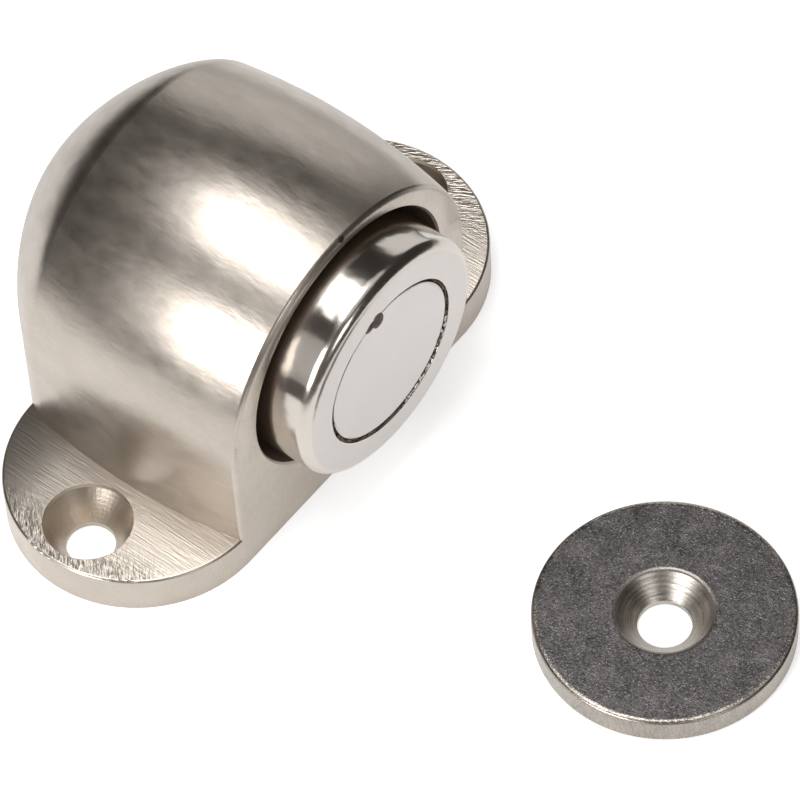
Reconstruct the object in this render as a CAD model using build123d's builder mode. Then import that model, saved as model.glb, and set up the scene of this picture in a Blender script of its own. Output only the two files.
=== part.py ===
from build123d import *
from math import radians, sqrt, tan
import os

# A magnetic door stop: a cast housing that is screwed to the floor, a pot magnet that is sprung
# into its front, and the loose steel strike plate that is screwed to the door. Sizes are in
# millimetres. +Z is up and the origin is on the floor, midway between the housing's two screw
# holes. The magnet faces -Y. A depth is measured backwards, towards +Y, from the front face.

# Pot magnet, and the pocket that it slides in
CUP_DIAMETER = 25.1
CUP_FLOOR = 3.9
CUP_EDGE_RADIUS = 1.0
MAGNET_DIAMETER = 17.5
MAGNET_THICKNESS = 6.0
MAGNET_RECESS = 0.1
MAGNET_EDGE_CHAMFER = 0.15
BOND_GAP = 0.2
BOND_RECESS = 0.25
PROTRUSION = 4.9
TRAVEL = 4.0
BORE_GAP = 1.1
BORE_CHAMFER = 0.2

# Spindle screw, with the spring, washer and nut on it
SPINDLE_DIAMETER = 5.0
SPINDLE_HEAD_DIAMETER = 9.2
SPINDLE_HEAD_ANGLE = 90
SPINDLE_TAIL = 1.0
SPINDLE_TIP_CHAMFER = 0.5
DRIVE_WIDTH = 3.0
DRIVE_DEPTH = 1.6
GUIDE_CLEARANCE = 0.08
SPRING_WIRE = 1.2
SPRING_DIAMETER = 12.5
SPRING_TURNS = 5
SPRING_LENGTH = 10.9
WASHER_DIAMETER = 10.0
WASHER_THICKNESS = 1.0
WASHER_CLEARANCE = 0.15
NUT_ACROSS_FLATS = 8.0
NUT_THICKNESS = 4.0
NUT_CHAMFER_ANGLE = 30

# Cast housing
BASE_WIDTH = 26.3
BASE_THICKNESS = 4.3
BASE_EDGE_RADIUS = 0.3
BORE_FLOOR = 4.5
TOP_WALL = 1.5
SIDE_WALL = 3.6
BODY_BULGE = 1.4
WIDEST_DEPTH = 13.7
NOSE_LENGTH = 11.0
NOSE_FLANK_PULL = 3.2
NOSE_TIP_PULL = 8.3
BODY_EDGE_RADIUS = 0.5
WEB_THICKNESS = 4.0
SHELL_WALL = 2.2
TAIL_CLEARANCE = 2.8

# Screw holes in the two ears
SCREW_HOLE_DIAMETER = 4.8
SCREW_HEAD_DIAMETER = 8.7
SCREW_SEAT_RIM = 0.6
SCREW_SEAT_ANGLE = 64
HEAD_TO_BODY = 1.15
HEAD_TO_EAR_EDGE = 1.1

# Strike plate, lying on the floor in front of the housing
STRIKE_DIAMETER = 25.0
STRIKE_THICKNESS = 2.9
STRIKE_EDGE_RADIUS = 0.35
STRIKE_HOLE_DIAMETER = 5.2
STRIKE_SEAT_DIAMETER = 9.3
STRIKE_SEAT_RIM = 0.35
STRIKE_SEAT_ANGLE = 92
STRIKE_SET_DOWN_X = 1.0
STRIKE_SET_DOWN_DISTANCE = 35.9

# Places along the magnet's axis, as depths behind the front face
cup_front = -PROTRUSION
magnet_front = cup_front + MAGNET_RECESS
magnet_back = magnet_front + MAGNET_THICKNESS
cup_back = magnet_back + CUP_FLOOR
bore_depth = cup_back + SPRING_LENGTH
web_back = bore_depth + WEB_THICKNESS
washer_back = web_back + WASHER_THICKNESS
nut_back = washer_back + NUT_THICKNESS
spindle_end = nut_back + SPINDLE_TAIL
core_end = spindle_end + TRAVEL + TAIL_CLEARANCE
body_depth = core_end + SHELL_WALL

# The housing's outline, built round the bore
bore_radius = CUP_DIAMETER / 2 + BORE_GAP
head_height = BORE_FLOOR + bore_radius
front_half = bore_radius + SIDE_WALL
widest_half = front_half + BODY_BULGE
barrel_height = head_height + bore_radius + TOP_WALL - front_half
screw_x = widest_half + HEAD_TO_BODY + SCREW_HEAD_DIAMETER / 2
base_length = 2 * (screw_x + SCREW_HEAD_DIAMETER / 2 + HEAD_TO_EAR_EDGE)
front_y = -BASE_WIDTH / 2
widest_y = front_y + WIDEST_DEPTH
nose_y = front_y + body_depth - NOSE_LENGTH
rear_y = front_y + body_depth
flank_radius = (WIDEST_DEPTH**2 + BODY_BULGE**2) / (2 * BODY_BULGE)
nose_half = widest_half - flank_radius + sqrt(flank_radius**2 - (nose_y - widest_y) ** 2)

head_plane = Plane(origin=(0, front_y, head_height), x_dir=(1, 0, 0), z_dir=(0, 1, 0))
barrel_axis = Axis((0, 0, barrel_height), (0, 1, 0))


def half_plan(inset):
    """Half of the body seen from above: a bowed flank that runs into a blunt nose, drawn in by inset."""
    nose_start = Vector(nose_half - inset, nose_y)
    tip_y = rear_y - inset
    with BuildSketch() as plan:
        with BuildLine():
            flank = ThreePointArc(
                (front_half - inset, front_y), (widest_half - inset, widest_y), nose_start
            )
            lean = nose_start + flank % 1 * NOSE_FLANK_PULL
            Bezier(nose_start, lean, (NOSE_TIP_PULL, tip_y), (0, tip_y))
            Polyline((0, tip_y), (0, front_y), flank @ 0)
        make_face()
    return plan.sketch


# The outside of the body: its plan carried straight up to the barrel axis, and turned over it
with BuildPart() as body_form:
    with BuildSketch():
        add(half_plan(0))
        mirror(about=Plane.YZ)
    extrude(amount=barrel_height)
    with BuildSketch(Plane.XY.offset(barrel_height)):
        add(half_plan(0))
    revolve(axis=barrel_axis, revolution_arc=-180)
    front_edges = body_form.faces().sort_by(Axis.Y)[0].edges()
    fillet(front_edges.sort_by(Axis.Z)[1:], BODY_EDGE_RADIUS)

# The core behind the web, open to the floor, that leaves the nose a thin shell
with BuildPart() as core:
    with BuildSketch():
        add(half_plan(SHELL_WALL))
        mirror(about=Plane.YZ)
    extrude(amount=barrel_height)
    with BuildSketch(Plane.XY.offset(barrel_height)):
        add(half_plan(SHELL_WALL))
    revolve(axis=barrel_axis, revolution_arc=-180)
    split(bisect_by=Plane.XZ.offset(-front_y - web_back), keep=Keep.BOTTOM)

# Housing: one zinc casting, the two-eared base and the body with its magnet pocket
with BuildPart() as housing:
    with BuildSketch():
        SlotOverall(base_length, BASE_WIDTH)
    extrude(amount=BASE_THICKNESS)
    fillet(housing.faces().sort_by(Axis.Z)[-1].edges(), BASE_EDGE_RADIUS)
    add(body_form.part)
    with BuildSketch(head_plane):
        Circle(bore_radius)
    extrude(amount=bore_depth, mode=Mode.SUBTRACT)
    bore_mouth = housing.edges().filter_by(GeomType.CIRCLE).group_by(Axis.Y)[0]
    chamfer(bore_mouth.sort_by(SortBy.RADIUS)[0], BORE_CHAMFER)
    add(core.part, mode=Mode.SUBTRACT)
    with BuildSketch(head_plane.offset(bore_depth)):
        Circle(SPINDLE_DIAMETER / 2 + GUIDE_CLEARANCE)
    extrude(amount=WEB_THICKNESS, mode=Mode.SUBTRACT)
    with Locations((-screw_x, 0, BASE_THICKNESS), (screw_x, 0, BASE_THICKNESS)):
        Hole(SCREW_HEAD_DIAMETER / 2, depth=SCREW_SEAT_RIM)
    with Locations(
        (-screw_x, 0, BASE_THICKNESS - SCREW_SEAT_RIM), (screw_x, 0, BASE_THICKNESS - SCREW_SEAT_RIM)
    ):
        CounterSinkHole(
            radius=SCREW_HOLE_DIAMETER / 2,
            counter_sink_radius=SCREW_HEAD_DIAMETER / 2,
            counter_sink_angle=SCREW_SEAT_ANGLE,
        )

# Magnet cup: a turned steel pot, bored for the magnet and countersunk behind it for the spindle
seat_depth = (SPINDLE_HEAD_DIAMETER - SPINDLE_DIAMETER) / 2 / tan(radians(SPINDLE_HEAD_ANGLE / 2))
with BuildPart() as magnet_cup:
    with BuildSketch(head_plane.offset(cup_front)):
        Circle(CUP_DIAMETER / 2)
    extrude(amount=cup_back - cup_front)
    fillet(magnet_cup.edges().group_by(Axis.Y)[0], CUP_EDGE_RADIUS)
    with BuildSketch(head_plane.offset(cup_front)):
        Circle(MAGNET_DIAMETER / 2 + BOND_GAP)
    extrude(amount=magnet_back - cup_front, mode=Mode.SUBTRACT)
    with BuildSketch(head_plane.offset(magnet_back)):
        Circle(SPINDLE_HEAD_DIAMETER / 2)
    with BuildSketch(head_plane.offset(magnet_back + seat_depth)):
        Circle(SPINDLE_DIAMETER / 2)
    loft(mode=Mode.SUBTRACT)
    with BuildSketch(head_plane.offset(magnet_back)):
        Circle(SPINDLE_DIAMETER / 2)
    extrude(amount=CUP_FLOOR, mode=Mode.SUBTRACT)

# Magnet: a plated disc that stands on the cup's floor
with BuildPart() as magnet:
    with BuildSketch(head_plane.offset(magnet_front)):
        Circle(MAGNET_DIAMETER / 2)
    extrude(amount=MAGNET_THICKNESS)
    chamfer(magnet.edges().group_by(Axis.Y)[0], MAGNET_EDGE_CHAMFER)

# Bond: the sleeve of set adhesive in the gap round the magnet
bond_front = magnet_front + BOND_RECESS
with BuildPart() as bond:
    with BuildSketch(head_plane.offset(bond_front)):
        Circle(MAGNET_DIAMETER / 2 + BOND_GAP)
        Circle(MAGNET_DIAMETER / 2, mode=Mode.SUBTRACT)
    extrude(amount=magnet_back - bond_front)

# Spindle: a countersunk screw, head under the magnet, that guides the cup through the web
with BuildPart() as spindle:
    with BuildSketch(head_plane.offset(magnet_back)):
        Circle(SPINDLE_HEAD_DIAMETER / 2)
    with BuildSketch(head_plane.offset(magnet_back + seat_depth)):
        Circle(SPINDLE_DIAMETER / 2)
    loft()
    with BuildSketch(head_plane.offset(magnet_back + seat_depth)):
        Circle(SPINDLE_DIAMETER / 2)
    extrude(amount=spindle_end - magnet_back - seat_depth)
    chamfer(spindle.edges().group_by(Axis.Y)[-1], SPINDLE_TIP_CHAMFER)
    with BuildSketch(head_plane.offset(magnet_back)):
        RegularPolygon(DRIVE_WIDTH / 2, 6, major_radius=False)
    extrude(amount=DRIVE_DEPTH, mode=Mode.SUBTRACT)

# Spring: a coil round the spindle, that just fits between the back of the cup and the web
coil_rise = SPRING_LENGTH - SPRING_WIRE
coil_plane = head_plane.offset(cup_back + SPRING_WIRE / 2)
coil = Helix(coil_rise / SPRING_TURNS, coil_rise, SPRING_DIAMETER / 2).moved(coil_plane.location)
with BuildPart() as spring:
    with BuildSketch(Plane(origin=coil @ 0, z_dir=coil % 0)):
        Circle(SPRING_WIRE / 2)
    sweep(path=coil, is_frenet=True)

# Washer: it takes the nut's pull on the back of the web
with BuildPart() as washer:
    with BuildSketch(head_plane.offset(web_back)):
        Circle(WASHER_DIAMETER / 2)
        Circle(SPINDLE_DIAMETER / 2 + WASHER_CLEARANCE, mode=Mode.SUBTRACT)
    extrude(amount=WASHER_THICKNESS)

# Nut: a hexagon with both ends turned to a cone, screwed on the spindle's tail
nut_corner = NUT_ACROSS_FLATS / sqrt(3)
nut_cone = (nut_corner - NUT_ACROSS_FLATS / 2) * tan(radians(NUT_CHAMFER_ANGLE))
with BuildPart() as nut:
    with BuildSketch(Plane.XZ):
        with BuildLine():
            Polyline(
                (0, 0),
                (NUT_ACROSS_FLATS / 2, 0),
                (nut_corner, nut_cone),
                (nut_corner, NUT_THICKNESS - nut_cone),
                (NUT_ACROSS_FLATS / 2, NUT_THICKNESS),
                (0, NUT_THICKNESS),
                close=True,
            )
        make_face()
    revolve(axis=Axis.Z)
    with BuildSketch():
        RegularPolygon(NUT_ACROSS_FLATS / 2, 6, major_radius=False)
        Circle(SPINDLE_DIAMETER / 2, mode=Mode.SUBTRACT)
    extrude(amount=NUT_THICKNESS, mode=Mode.INTERSECT)
nut_in_place = nut.part.moved(head_plane.offset(washer_back).location)

# Strike plate: a steel disc with one countersunk hole, laid face up in front of the magnet
strike_y = front_y - STRIKE_SET_DOWN_DISTANCE
with BuildPart() as strike_plate:
    with BuildSketch():
        with Locations((STRIKE_SET_DOWN_X, strike_y)):
            Circle(STRIKE_DIAMETER / 2)
    extrude(amount=STRIKE_THICKNESS)
    fillet(strike_plate.edges(), STRIKE_EDGE_RADIUS)
    with Locations((STRIKE_SET_DOWN_X, strike_y, STRIKE_THICKNESS)):
        Hole(STRIKE_SEAT_DIAMETER / 2, depth=STRIKE_SEAT_RIM)
    with Locations((STRIKE_SET_DOWN_X, strike_y, STRIKE_THICKNESS - STRIKE_SEAT_RIM)):
        CounterSinkHole(
            radius=STRIKE_HOLE_DIAMETER / 2,
            counter_sink_radius=STRIKE_SEAT_DIAMETER / 2,
            counter_sink_angle=STRIKE_SEAT_ANGLE,
        )

pieces = {
    "housing": housing.part,
    "magnet_cup": magnet_cup.part,
    "magnet": magnet.part,
    "bond": bond.part,
    "spindle": spindle.part,
    "spring": spring.part,
    "washer": washer.part,
    "nut": nut_in_place,
    "strike_plate": strike_plate.part,
}
os.makedirs("parts", exist_ok=True)
for name, piece in pieces.items():
    piece.label = name
    export_step(piece, f"parts/{name}.step")
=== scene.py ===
import math
import random

import bmesh
import bpy
from mathutils import Matrix, Vector, noise


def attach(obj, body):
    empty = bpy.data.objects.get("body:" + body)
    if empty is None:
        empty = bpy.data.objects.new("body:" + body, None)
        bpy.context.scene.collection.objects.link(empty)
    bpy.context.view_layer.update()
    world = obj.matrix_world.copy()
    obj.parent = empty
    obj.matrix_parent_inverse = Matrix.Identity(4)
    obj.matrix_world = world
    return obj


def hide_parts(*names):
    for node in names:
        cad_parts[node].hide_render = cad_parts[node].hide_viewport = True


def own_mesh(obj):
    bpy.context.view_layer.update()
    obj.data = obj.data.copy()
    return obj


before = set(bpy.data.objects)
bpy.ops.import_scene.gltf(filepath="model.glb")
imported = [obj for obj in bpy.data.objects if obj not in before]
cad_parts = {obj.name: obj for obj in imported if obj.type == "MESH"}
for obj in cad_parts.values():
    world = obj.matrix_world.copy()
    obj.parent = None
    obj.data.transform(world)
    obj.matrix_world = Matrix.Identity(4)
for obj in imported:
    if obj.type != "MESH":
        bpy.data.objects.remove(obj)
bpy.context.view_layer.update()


# Housing. The real one is a single zinc casting, ground and brushed from front to back and then
# plated in satin nickel. Two wood screws through its ears hold it to the floor; the screw seats
# are bored after brushing, so they show the cutter's rings.
class Term:
    """A socket in a node tree, so that shader maths can be written as plain sums."""

    def __init__(self, socket):
        self.socket = socket
        self.tree = socket.id_data

    def maths(self, operation, *others):
        node = self.tree.nodes.new("ShaderNodeMath")
        node.operation = operation
        for place, term in zip(node.inputs, (self, *others)):
            feed(place, term)
        return Term(node.outputs[0])

    def __add__(self, other):
        return self.maths("ADD", other)

    def __radd__(self, other):
        return self.maths("ADD", other)

    def __sub__(self, other):
        return self.maths("SUBTRACT", other)

    def __rsub__(self, other):
        return self.maths("MULTIPLY_ADD", -1.0, other)

    def __mul__(self, other):
        return self.maths("MULTIPLY", other)

    def __rmul__(self, other):
        return self.maths("MULTIPLY", other)

    def __truediv__(self, other):
        return self.maths("DIVIDE", other)

    def __pow__(self, other):
        return self.maths("POWER", other)

    def __abs__(self):
        return self.maths("ABSOLUTE")

    def clamp(self):
        return self.maths("MAXIMUM", 0.0).maths("MINIMUM", 1.0)

    def over(self, limit, soft=0.001):
        """0 below the limit and 1 above it, changing evenly over soft on each side."""
        return ((self - (limit - soft)) / (2 * soft)).clamp()

    def within(self, low, high, soft=0.001):
        return self.over(low, soft) * (1 - self.over(high, soft))

    def across(self, other):
        """The distance from the middle, from two coordinates."""
        return (self * self + other * other) ** 0.5


def feed(place, value):
    if isinstance(value, Term):
        place.id_data.links.new(value.socket, place)
    else:
        place.default_value = value


class Finish:
    """A material and the nodes that draw it."""

    def __init__(self, name):
        self.material = bpy.data.materials.new(name)
        self.material.use_nodes = True
        self.tree = self.material.node_tree
        self.tree.nodes.clear()

    def node(self, kind, settings, sockets, out=None):
        node = self.tree.nodes.new(kind)
        for name, value in settings.items():
            setattr(node, name, value)
        known = {s.name: s for s in node.inputs if s.enabled} | {s.identifier: s for s in node.inputs}
        for name, value in sockets.items():
            feed(known[name], value)
        results = [s for s in node.outputs if s.enabled and out in (None, s.name)]
        return Term(results[0]) if results else None

    def millimetres(self, middle=(0, 0, 0), stretch=(1, 1, 1), turn=(0, 0, 0)):
        """Object coordinates in millimetres from middle, each divided by its stretch."""
        place = self.node("ShaderNodeTexCoord", {}, {}, "Object")
        return self.node("ShaderNodeMapping", {"vector_type": "TEXTURE"}, {
            "Vector": place, "Location": [c / 1000 for c in middle], "Rotation": turn,
            "Scale": [s / 1000 for s in stretch]})

    def axes(self, where):
        split = self.node("ShaderNodeSeparateXYZ", {}, {"Vector": where})
        return [Term(s) for s in split.socket.node.outputs]

    def facing(self):
        return self.axes(self.node("ShaderNodeNewGeometry", {}, {}, "Normal"))

    def grain(self, stretch, detail=2.0, rough=0.5, turn=(0, 0, 0)):
        """Noise about 0, in cells as large as stretch, in millimetres."""
        return self.node("ShaderNodeTexNoise", {}, {
            "Vector": self.millimetres(stretch=stretch, turn=turn), "Scale": 1.0, "Detail": detail,
            "Roughness": rough}, "Fac") - 0.5

    def grain_at(self, detail, **places):
        """Noise about 0 in cells of 1, on coordinates given one by one."""
        where = self.node("ShaderNodeCombineXYZ", {}, places)
        return self.node("ShaderNodeTexNoise", {}, {"Vector": where, "Scale": 1.0, "Detail": detail}, "Fac") - 0.5

    def scratches(self, degrees, width, length, rarity):
        """Fine lines in one direction of the floor's plane: 1 on a line and 0 between."""
        lines = self.grain((width, length, length), 0.0, turn=(0, 0, math.radians(degrees)))
        return lines.over(rarity, 0.03)

    def mix(self, share, one, other):
        return self.node("ShaderNodeMix", {"data_type": "RGBA"}, {
            "Factor_Float": share, "A_Color": one, "B_Color": other}, "Result")

    def done(self, height=None, **sockets):
        """Finish the material: Principled sockets by name, and a height in millimetres for the bump."""
        named = {name.replace("_", " ").title(): value for name, value in sockets.items()}
        if height is not None:
            named["Normal"] = self.node("ShaderNodeBump", {}, {"Height": height, "Distance": 0.001}, "Normal")
        surface = self.node("ShaderNodeBsdfPrincipled", {}, named, "BSDF")
        self.node("ShaderNodeOutputMaterial", {}, {"Surface": surface})
        return self.material


def dress(name, material):
    """Give a CAD node its material."""
    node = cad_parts[name]
    node.data.materials.clear()
    node.data.materials.append(material)


head_height = 18.15
screw_x = 24.15
satin = Finish("satin_nickel")
x, y, z = satin.axes(satin.millimetres())
side, depth, up = satin.facing()
from_head = x.across(z - head_height)
from_screw = (abs(x) - screw_x).across(y)
ear_top = up.over(0.99, 0.005) * (1 - z.over(5.0))
seat = (1 - from_screw.over(4.40)) * (1 - z.over(4.34))
inward = 1 - (x * side + y * depth + (z - 16.0) * up).over(0.0, 0.01)
inside = (inward * (1 - abs(x).over(14.6)) + (1 - z.over(0.02))).clamp()
front = (0 - depth).over(0.8, 0.1) * (1 - inside)
arch = front * (from_head - 14.0).maths("MAXIMUM", 0.0) * z.over(16.0, 3.0)
along = satin.grain((0.13, 1.8, 0.13), 1.0, 0.5)
coarse = satin.grain((0.15, 2.8, 0.15), 1.0, 0.5)
crossed_left = satin.grain((0.15, 0.9, 0.15), 1.0, 0.5, turn=(0, 0, math.radians(-42)))
crossed_right = satin.grain((0.15, 1.1, 0.15), 1.0, 0.5, turn=(0, 0, math.radians(31)))
crossed = crossed_left * (1 - x.over(0)) + crossed_right * x.over(0)
crossing = (abs(x) - y * 0.05).over(25.8, 2.2) * 0.8
gouged = ear_top * crossed.over(0.07, 0.06) * crossing
upright = satin.grain((0.16, 0.5, 0.9), 1.0, 0.5)
pits = satin.grain((0.17, 0.17, 0.17), 1.0, 0.5)
mottle = satin.grain((5.0, 8.0, 5.0), 3.0, 0.6)
smear = satin.grain((1.5, 3.4, 1.5), 2.0, 0.55)
turned_rings = (from_screw * 26.0).maths("SINE")
chatter = satin.grain_at(2.0, X=(abs(x) - screw_x).maths("ARCTAN2", y) * 11.0, Y=z * 0.5)
wall = (1 - front) * (1 - ear_top) * (1 - seat) * (1 - inside)
brushed = coarse * (1 - crossing) + crossed * crossing * 2.6
back = (y - 6.0).maths("MAXIMUM", 0.0)
late = (y - 12.0).maths("MAXIMUM", 0.0)
arched = z.over(16.0, 9.0)
swell = ((y + 3.0) * (y + 3.0) - late * late * 2.6) * arched * arched * (3.0 - 2.0 * arched)
ear_slope = x * 0.075 + x.maths("MAXIMUM", 0.0) * 0.05
ear_crown = y * y * 0.0013 + back * back * 0.008 + (abs(x) - 21.0) * (abs(x) - 21.0) * 0.003
height = (
    wall * (along * 0.005 + smear * 0.036 - swell * 0.0033)
    + ear_top * (brushed * 0.024 + ear_slope - ear_crown)
    + front * (upright * 0.014 + pits * 0.009)
    - arch * arch * 0.15
    + seat * (turned_rings * 0.0016 + chatter * 0.030 + pits * 0.012)
    + inside * (pits * 0.02)
)
from_nick = x.across(z - 33.2).across(y + 13.15)
nick = 1 - (from_nick + pits * 0.8).over(0.42, 0.08)
fleck = wall * (along * 0.9 + pits * 0.5) + ear_top * (brushed * 1.7) + front * (upright * 1.2 + pits * 0.8)
dullness = 0.16 * smear * wall + 0.04 * seat + 0.05 * front - 0.04 * ear_top + 0.20 * inside + 0.3 * nick
tone = satin.mix((mottle * 1.2 + fleck + 0.5).clamp(), (0.61, 0.555, 0.495, 1), (0.505, 0.447, 0.385, 1))
# Painted shade: the front face darker towards its bottom.
tone = satin.mix(front * 0.3 * (1 - z.over(14.0, 6.0)), tone, (0.47, 0.41, 0.35, 1))
# Painted shade: the wall's back upper part, round the nose, darker.
tone = satin.mix(wall * y.over(14.5, 2.5) * z.over(10.0, 6.0) * 0.5, tone, (0.43, 0.385, 0.335, 1))
tone = satin.mix(gouged * 0.85, tone, (0.10, 0.09, 0.07, 1))
tone = satin.mix(seat * 0.55, tone, (0.50, 0.43, 0.35, 1))
# Painted shade: the inside of the pocket dark brown.
tone = satin.mix(inside * 0.9, tone, (0.21, 0.145, 0.105, 1))
tone = satin.mix(nick, tone, (0.035, 0.028, 0.022, 1))
dress("housing", satin.done(
    height,
    base_color=tone,
    roughness=0.33 + 0.10 * mottle + dullness,
    metallic=1 - 0.5 * nick - 0.75 * inside,
))


# Spring. The real one is wound from drawn steel wire and sits in the housing behind the magnet
# cup, round the spindle. It keeps the oil-dark skin of the wire. Its back end stays on the
# housing's web while the cup, 4 mm of travel, presses it from 10.9 mm long to 6.9 mm.
wire = Finish("spring_steel")
drawn = wire.grain((0.10, 0.10, 0.10), 3.0, 0.6)
bloom = wire.grain((1.5, 1.5, 1.5), 2.0)
wire_skin = wire.done(
    drawn * 0.006,
    base_color=wire.mix((bloom * 2.0 + 0.5).clamp(), (0.20, 0.195, 0.19, 1), (0.13, 0.115, 0.10, 1)),
    roughness=0.34 + 0.20 * bloom,
    metallic=1.0,
)


def piece(name, work, material, sharp=30):
    """Make a bmesh an object of the scene, smooth except at its sharp edges."""
    mesh = bpy.data.meshes.new(name)
    for face in work.faces:
        face.smooth = True
    work.to_mesh(mesh)
    work.free()
    mesh.set_sharp_from_angle(angle=math.radians(sharp))
    thing = bpy.data.objects.new(name, mesh)
    bpy.context.scene.collection.objects.link(thing)
    thing.data.materials.append(material)
    return thing


coils = bmesh.new()
coils.from_mesh(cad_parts["spring"].data)
bmesh.ops.remove_doubles(coils, verts=coils.verts[:], dist=1e-7)
spring = piece("wound_spring", coils, wire_skin, 40)
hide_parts("spring")
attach(spring, "base")
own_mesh(spring)


# Spindle. A countersunk machine screw, zinc plated. Its head sits in the bottom of the magnet cup
# and its shank runs in the housing's web; the thread shows only on its tail, where the nut is.
zinc = Finish("zinc_plated_steel")
x, y, z = zinc.axes(zinc.millimetres(middle=(0, 0, head_height)))
from_axis = x.across(z)
turn_round = z.maths("ARCTAN2", x) / math.tau
tail = y.over(6.9, 0.1) * (1 - from_axis.over(2.56, 0.02))
thread = ((y / 0.8 + turn_round).maths("FRACT") - 0.5).maths("ABSOLUTE")
crystals = zinc.grain((0.25, 0.25, 0.25), 2.0)
haze = zinc.grain((2.2, 2.2, 2.2), 2.0)
rings = (from_axis * 22.0).maths("SINE")
flat_end = abs(zinc.facing()[1]).over(0.95, 0.03)
zinc_plate = zinc.done(
    tail * thread * 0.42 + crystals * 0.006 + flat_end * rings * 0.0015,
    base_color=zinc.mix((haze * 2.0 + 0.5).clamp(), (0.60, 0.61, 0.63, 1), (0.55, 0.55, 0.50, 1)),
    roughness=0.27 + 0.15 * haze,
    metallic=1.0,
)
dress("spindle", zinc_plate)


# Magnet cup. The real one is a steel pot turned on a lathe, its front edge rounded, with bright
# nickel plate. It slides in the housing's pocket on the spindle, and the spring pushes it forward.
# Its bore lies a little off the middle.
def turned(profile, rounds, steps):
    """Turn an outline of (radius, y) in millimetres round the head's axis. rounds gives the size
    of each rounded corner by its number."""
    work = bmesh.new()
    middle = (0, 0, head_height / 1000)
    corners = [work.verts.new((r / 1000, y / 1000, middle[2])) for r, y in profile]
    work.faces.new(corners)
    for number, size in rounds.items():
        bmesh.ops.bevel(work, geom=[corners[number]], offset=size / 1000, offset_type="OFFSET",
                        affect="VERTICES", segments=7 if size > 0.5 else 3, profile=0.5, material=-1)
    bmesh.ops.delete(work, geom=work.faces[:], context="FACES_ONLY")
    bmesh.ops.spin(work, geom=work.edges[:], cent=middle, axis=(0, 1, 0), angle=math.tau,
                   steps=steps, use_merge=True)
    bmesh.ops.remove_doubles(work, verts=work.verts[:], dist=1e-6)
    bmesh.ops.recalc_face_normals(work, faces=work.faces[:])
    return work


cup_radius, cup_back, cup_front = 12.55, -8.05, -18.05
bore_radius, bore_floor = 8.75, -11.95
pot = turned(
    [(cup_radius, cup_back), (cup_radius, -8.6), (cup_radius, -16.7), (cup_radius, cup_front),
     (11.2, cup_front), (9.0, cup_front), (bore_radius, cup_front), (bore_radius, bore_floor),
     (4.6, bore_floor), (2.5, -9.85), (2.5, cup_back)],
    {0: 0.3, 3: 1.2, 6: 0.10},
    256,
)
bore = [
    v for v in pot.verts
    if 0.0083 < math.hypot(v.co.x, v.co.z - head_height / 1000) < 0.0092 and v.co.y < -0.0115
]
bmesh.ops.translate(pot, verts=bore, vec=(0.00010, 0, -0.00018))
bright = Finish("polished_nickel")
x, y, z = bright.axes(bright.millimetres(middle=(0, 0, head_height)))
from_axis = x.across(z)
waves = bright.grain((1.6, 2.6, 1.6), 1.0)
fine = bright.grain((0.09, 0.09, 0.09), 1.0)
film = bright.grain((4.0, 3.0, 4.0), 3.0, 0.6)
cup_face = (0 - bright.facing()[1]).over(0.97, 0.02)
rubbed = bright.scratches(20, 0.05, 3.0, 0.27) * bright.grain((3, 3, 3)).over(0.05, 0.05)
# Painted shade: the back of the cup's side, where it goes into the pocket, mixed towards brown; the film adds random
# tone.
root_shade = y.over(-13.6, 0.9) * from_axis.over(12.0, 0.1)
edge = from_axis.over(11.5, 0.2) * (0 - y).over(17.0, 0.3)
# Painted shade: the face takes a darker copy of the plate's colour.
plate_tone_face_shaded = bright.mix(cup_face, (0.655, 0.61, 0.555, 1), (0.595, 0.562, 0.538, 1))
face_rings = (from_axis * 18.0).maths("SINE")
cup = piece("turned_cup", pot, bright.done(
    waves * 0.04 + fine * 0.0012 + cup_face * face_rings * 0.0004 + rubbed * -0.001,
    base_color=bright.mix((root_shade * 0.5 + film * 0.3).clamp(), plate_tone_face_shaded, (0.50, 0.42, 0.35, 1)),
    roughness=0.155 + 0.08 * film + 0.05 * cup_face + 0.05 * rubbed + 0.06 * root_shade + 0.07 * edge,
    metallic=1.0,
))
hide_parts("magnet_cup")
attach(cup, "head")


# Magnet. A sintered disc with a thin plate of its own, ground flat. It is glued into the cup
# almost flush with the rim, closer to the upper left of its bore than to the lower right.
disc_radius, disc_front = 8.36, -18.0
disc = turned(
    [(0.0, bore_floor), (disc_radius, bore_floor), (disc_radius, disc_front), (8.16, disc_front), (0.0, disc_front)],
    {2: 0.07},
    192,
)
bmesh.ops.translate(disc, verts=disc.verts[:], vec=(-0.00002, 0, 0.00006))
plated = Finish("plated_magnet")
x, y, z = plated.axes(plated.millimetres(middle=(0, 0, head_height)))
from_axis = x.across(z)
ground = plated.grain((0.08, 0.3, 1.6), 2.0, 0.6, turn=(0, math.radians(25), 0))
cloud = plated.grain((4.0, 4.0, 4.0), 3.0, 0.6)
dust = plated.grain((0.13, 0.13, 0.13), 0.0).over(0.33, 0.02)
rubbed = plated.grain((0.07, 1.0, 2.4), 0.0, turn=(0, math.radians(-40), 0)).over(0.29, 0.03)
worn = (from_axis + cloud * 1.5).over(8.35, 0.12)
clean = plated.mix((cloud * 1.6 + 0.5).clamp(), (0.62, 0.588, 0.568, 1), (0.595, 0.565, 0.545, 1))
magnet = piece("magnet_disc", disc, plated.done(
    ground * 0.004 + rubbed * -0.001,
    base_color=plated.mix((dust * 0.3 + worn * 0.35 + rubbed * 0.12).clamp(), clean, (0.40, 0.36, 0.32, 1)),
    roughness=0.24 + 0.08 * cloud + 0.10 * worn,
    metallic=1.0,
))
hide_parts("magnet")
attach(magnet, "head")
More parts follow.
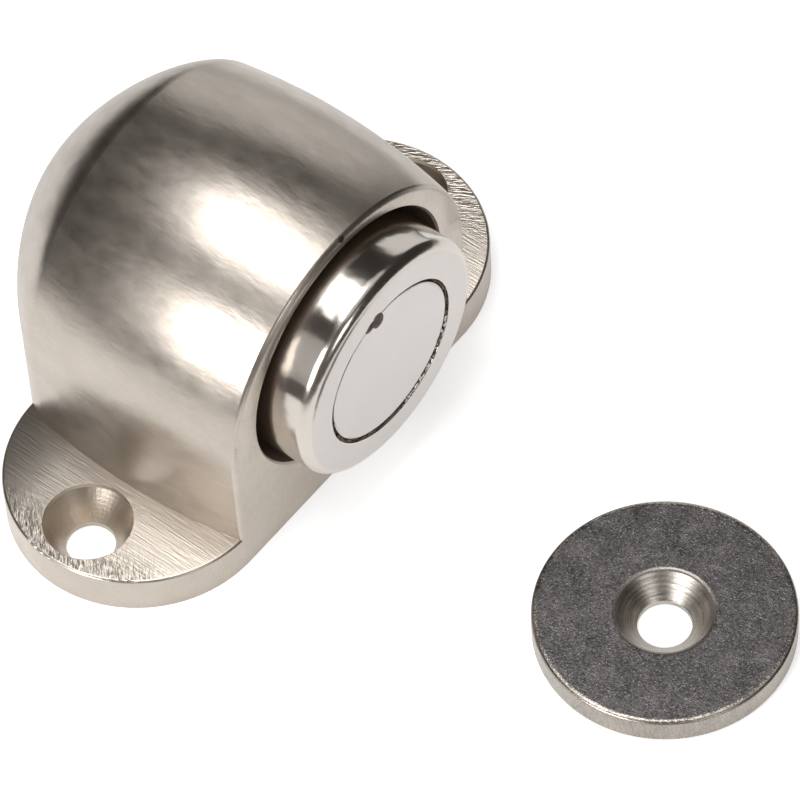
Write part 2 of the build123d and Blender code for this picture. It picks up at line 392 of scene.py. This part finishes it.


# Bond. Brown adhesive squeezed into the gap between magnet and cup, set with a ragged skin below
# the rim. One drop dried on the face at the top and crumbs stuck lower down; bright metal crumbs
# in the gap are stand-ins for glints of light off the bore wall.
random.seed(7)
noise.seed_set(19)
ring = turned(
    [(8.30, -16.8), (8.30, -17.50), (8.46, -17.78), (8.64, -17.82), (8.82, -17.78), (9.0, -17.70), (9.0, -16.8)],
    {},
    420,
)
for v in ring.verts:
    if v.co.y < -0.0172:
        lift = noise.noise(Vector(v.co) * 1800) * 0.00034 + random.uniform(-0.00005, 0.00005)
        v.co.y = max(v.co.y + lift, -0.01796)
bmesh.ops.translate(ring, verts=ring.verts[:], vec=(0.00007, 0, -0.00006))


def crumb(degrees, radius, length, width, thick, metal=0):
    """A crumb in the bond's mesh, lying along the gap at that place on the cup's face."""
    turn = Matrix.Rotation(math.radians(-degrees), 4, "Y")
    middle = Matrix.Translation((0, -0.01798, head_height / 1000))
    lie = middle @ turn @ Matrix.Translation((radius / 1000, 0, 0))
    made = bmesh.ops.create_icosphere(ring, subdivisions=4 if length > 0.4 else 2, radius=0.0005,
                                      matrix=lie @ Matrix.Diagonal((width, thick, length, 1)))
    for v in made["verts"]:
        push = noise.noise_vector(Vector(v.co) * (900 / width)) * (width * 0.00022)
        v.co.x += push.x
        v.co.z += push.z
        for face in v.link_faces:
            face.material_index = metal


for drop_or_crumb in (
    (99.8, 8.02, 1.60, 1.80, 0.56),
    (105.5, 8.32, 1.80, 0.95, 0.40),
    (-32.0, 8.36, 0.75, 0.42, 0.20),
    (-27.5, 8.50, 0.80, 0.30, 0.20),
    (-158.0, 8.52, 0.70, 0.42, 0.30),
    (-151.0, 8.60, 0.80, 0.36, 0.24),
    (-142.0, 8.50, 0.60, 0.30, 0.20),
    (-176.0, 8.48, 0.40, 0.22, 0.20),
):
    crumb(*drop_or_crumb)
# Every third crumb is bright metal, a stand-in for glints of light off the bore wall.
for step in range(110):
    glint_crumb = step % 3 == 0
    degrees = random.uniform(-80, -14) if glint_crumb else random.uniform(-125, 35)
    rightward, upward = math.cos(math.radians(degrees)), math.sin(math.radians(degrees))
    room = 0.195 + 0.06 * rightward - 0.12 * upward
    crumb(degrees, 8.555 + 0.04 * rightward - 0.06 * upward + random.uniform(-0.5, 0.5) * room,
          random.uniform(0.20, 0.75), random.uniform(0.6, 1.1) * room, random.uniform(0.12, 0.24), int(glint_crumb))
glue = Finish("adhesive")
lumps = glue.grain((0.22, 0.22, 0.22), 3.0, 0.6)
murk = glue.grain((1.1, 1.1, 1.1), 2.0)
bond = piece("bond_ring", ring, glue.done(
    lumps * 0.05,
    base_color=glue.mix((murk * 2.2 + lumps + 0.5).clamp(), (0.04, 0.027, 0.018, 1), (0.22, 0.15, 0.09, 1)),
    roughness=0.55 + 0.3 * lumps,
    metallic=0.0,
), 60)
bond.data.materials.append(cup.data.materials[0])
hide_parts("bond")
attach(bond, "head")


# Washer and nut. Stamped and forged steel, zinc plated like the spindle that they hold behind the
# housing's web.
for name in ("washer", "nut"):
    dress(name, zinc_plate)


# Strike plate. A steel disc for the door, turned and countersunk, its face left dark from the
# heat and finely scratched. Its edge and the seat of its one screw are bright.
strike = Finish("strike_steel")
x, y, z = strike.axes(strike.millimetres(middle=(1.0, -49.05, 0)))
up = strike.facing()[2]
from_hole = x.across(y)
round_angle = y.maths("ARCTAN2", x)
top = up.over(0.985, 0.01) * z.over(2.7, 0.05)
cone = 1 - from_hole.over(4.72, 0.04)
rim = (1 - top) * (1 - cone)
specks = strike.grain((0.15, 0.15, 0.15), 2.0, 0.6)
bright_specks = specks.over(0.16, 0.03)
dark_specks = (0 - specks).over(0.15, 0.04)
cloud = strike.grain((3.2, 3.2, 3.2), 4.0, 0.6)
hair = (
    strike.scratches(12, 0.05, 2.0, 0.25) + strike.scratches(63, 0.05, 1.5, 0.26)
    + strike.scratches(118, 0.05, 2.4, 0.26) + strike.scratches(155, 0.06, 1.2, 0.26)
).clamp() * strike.grain((2.5, 2.5, 2.5), 1.0).over(-0.03, 0.08)
worn = (from_hole + cloud * 0.6 + specks).over(12.12, 0.10)
lip = from_hole.within(4.5, 4.85, 0.06) * top
rolled = (from_hole - 11.9).maths("MAXIMUM", 0.0)
lipped = (5.0 - from_hole).maths("MAXIMUM", 0.0)
rings = (from_hole * 30.0).maths("SINE")
strokes = strike.grain_at(2.0, X=round_angle * 70.0, Y=z * 0.7)
blotch = strike.grain((0.30, 0.30, 0.30), 2.0, 0.7)
dull = strike.mix((cloud * 1.1 + blotch * 2.4 + 0.5).clamp(), (0.105, 0.097, 0.097, 1), (0.250, 0.232, 0.230, 1))
dull = strike.mix(bright_specks * 0.9, dull, (0.60, 0.58, 0.55, 1))
dull = strike.mix(dark_specks * 0.7, dull, (0.06, 0.057, 0.057, 1))
dull = strike.mix(hair * 0.30, dull, (0.60, 0.58, 0.55, 1))
bare = strike.mix((specks * 2.6 + strokes + cloud + 0.5).clamp(), (0.27, 0.245, 0.222, 1), (0.50, 0.455, 0.40, 1))
bare = strike.mix(worn * top * (specks * 3.0 + 0.6).clamp(), bare, (0.80, 0.74, 0.60, 1))
grooves = strike.grain_at(3.0, X=round_angle * 0.9, Y=from_hole * 7.0, Z=z)
bare = strike.mix(cone * (0.5 + grooves), bare, (0.66, 0.62, 0.56, 1))
shine = (worn * 0.95 + lip * 0.9).clamp() * top + rim * (0.8 + 0.2 * worn) + cone * (0.80 + 1.6 * grooves)
rounded = rolled * rolled * 0.55 + lipped * lipped * 0.8
dress("strike_plate", strike.done(
    top * (specks * 0.020 + blotch * 0.014 - hair * 0.003 - rounded)
    + rim * (strokes * 0.012 + specks * 0.012)
    + cone * (grooves * 0.035 + rings * 0.002 + specks * 0.010),
    base_color=strike.mix(shine.clamp(), dull, bare),
    roughness=0.36 + 0.15 * cloud - 0.02 * cone - 0.06 * rim + 0.10 * bright_specks,
    metallic=1.0,
))


# Studio. A white table that is clear from below, and a dim surround that the camera doesn't see.
# Three soft boxes light the object, one behind and above, one at the left and one in front, as
# the mirror side of the magnet cup shows, and three dimmer cards fill its reflections.
def prop(name, work):
    """Make a bmesh a thing of the studio."""
    mesh = bpy.data.meshes.new(name)
    work.to_mesh(mesh)
    work.free()
    thing = bpy.data.objects.new(name, mesh)
    bpy.context.scene.collection.objects.link(thing)
    return thing


table = bmesh.new()
just_below = Matrix.Translation((0, 0, -0.00002))
bmesh.ops.create_circle(table, cap_ends=True, segments=96, radius=0.12, matrix=just_below)
floor = prop("table", table)
white = Finish("white_table")
path = white.node("ShaderNodeLightPath", {}, {}).socket.node.outputs
seen = (Term(path["Is Camera Ray"]) + Term(path["Is Transmission Ray"])).clamp()
seen = seen * 0.55 + Term(path["Is Glossy Ray"]) * 0.36
paper = white.node("ShaderNodeBsdfDiffuse", {}, {"Color": (0.85, 0.85, 0.85, 1)}, "BSDF")
glow = white.node("ShaderNodeEmission", {}, {"Color": (1, 1, 1, 1), "Strength": seen}, "Emission")
lit = white.node("ShaderNodeAddShader", {}, {"Shader": paper, "Shader_001": glow}, "Shader")
under = white.node("ShaderNodeNewGeometry", {}, {}, "Backfacing")
clear = white.node("ShaderNodeBsdfTransparent", {}, {}, "BSDF")
sheet = white.node("ShaderNodeMixShader", {}, {"Fac": under, "Shader": lit, "Shader_001": clear}, "Shader")
white.node("ShaderNodeOutputMaterial", {}, {"Surface": sheet})
floor.data.materials.append(white.material)

dome = bmesh.new()
dome_radius = 1.6
bmesh.ops.create_uvsphere(dome, u_segments=64, v_segments=32, radius=dome_radius)
surround = prop("surround", dome)
surround.visible_camera = False
dim = Finish("grey_surround")
x, y, z = dim.axes(dim.millimetres(stretch=(dome_radius * 1000,) * 3))
left = (x * -0.9 - y * 0.45).clamp()
warm = {"Color": (1.0, 0.90, 0.85, 1), "Strength": left * 0.09 + 0.037}
grey = dim.node("ShaderNodeEmission", {}, warm, "Emission")
dim.node("ShaderNodeOutputMaterial", {}, {"Surface": grey})
dim.material.cycles.emission_sampling = "NONE"
surround.data.materials.append(dim.material)


def soft_box(name, azimuth, elevation, width, height, brightness, aside=0.0, away=1.0):
    """A rectangular lamp that faces the object from that direction, in degrees."""
    lamp = bpy.data.lights.new(name, "AREA")
    lamp.shape = "RECTANGLE"
    lamp.size, lamp.size_y = width, height
    lamp.energy = brightness * math.pi * width * height
    box = bpy.data.objects.new(name, lamp)
    target = Matrix.Translation((0, -0.01, 0.02))
    turn = Matrix.Rotation(math.radians(azimuth), 4, "Z") @ Matrix.Rotation(math.radians(90 - elevation), 4, "X")
    box.matrix_world = target @ turn @ Matrix.Translation((aside, 0, away))
    bpy.context.scene.collection.objects.link(box)
    return box


soft_box("lamp_above", 180, 81, 0.585, 0.53, 4.6, 0.092)
soft_box("lamp_left", -90, 24, 0.48, 0.56, 7.0)
soft_box("lamp_front", -17, 28, 0.32, 0.36, 3.0)
soft_box("card_over", 30, 82, 1.20, 0.90, 0.62, 0.0, 1.15)
soft_box("card_right", 118, 11, 0.72, 0.72, 0.78)
soft_box("card_left", -117, 23, 0.26, 0.68, 0.40)

world = bpy.data.worlds.new("backdrop")
bpy.context.scene.world = world
world.use_nodes = True
world.cycles.sampling_method = "NONE"
world.node_tree.nodes["Background"].inputs["Color"].default_value = (1, 1, 1, 1)
world.node_tree.nodes["Background"].inputs["Strength"].default_value = 1.0

camera = bpy.data.cameras.new("camera")
focal_pixels, photo_width = 6084.9, 800
camera.sensor_width = 36
camera.lens = 36 * focal_pixels / photo_width
viewer = bpy.data.objects.new("camera", camera)
viewer.matrix_world = (
    Matrix.Translation((0.006299, -0.013381, 0.000803))
    @ Matrix.Rotation(math.radians(-48.780), 4, "Z")
    @ Matrix.Rotation(math.radians(90 - 54.645), 4, "X")
    @ Matrix.Rotation(math.radians(-3.758), 4, "Z")
    @ Matrix.Translation((0, 0, 0.584934))
)
bpy.context.scene.collection.objects.link(viewer)
bpy.context.scene.camera = viewer
bpy.context.scene.view_settings.view_transform = "Standard"
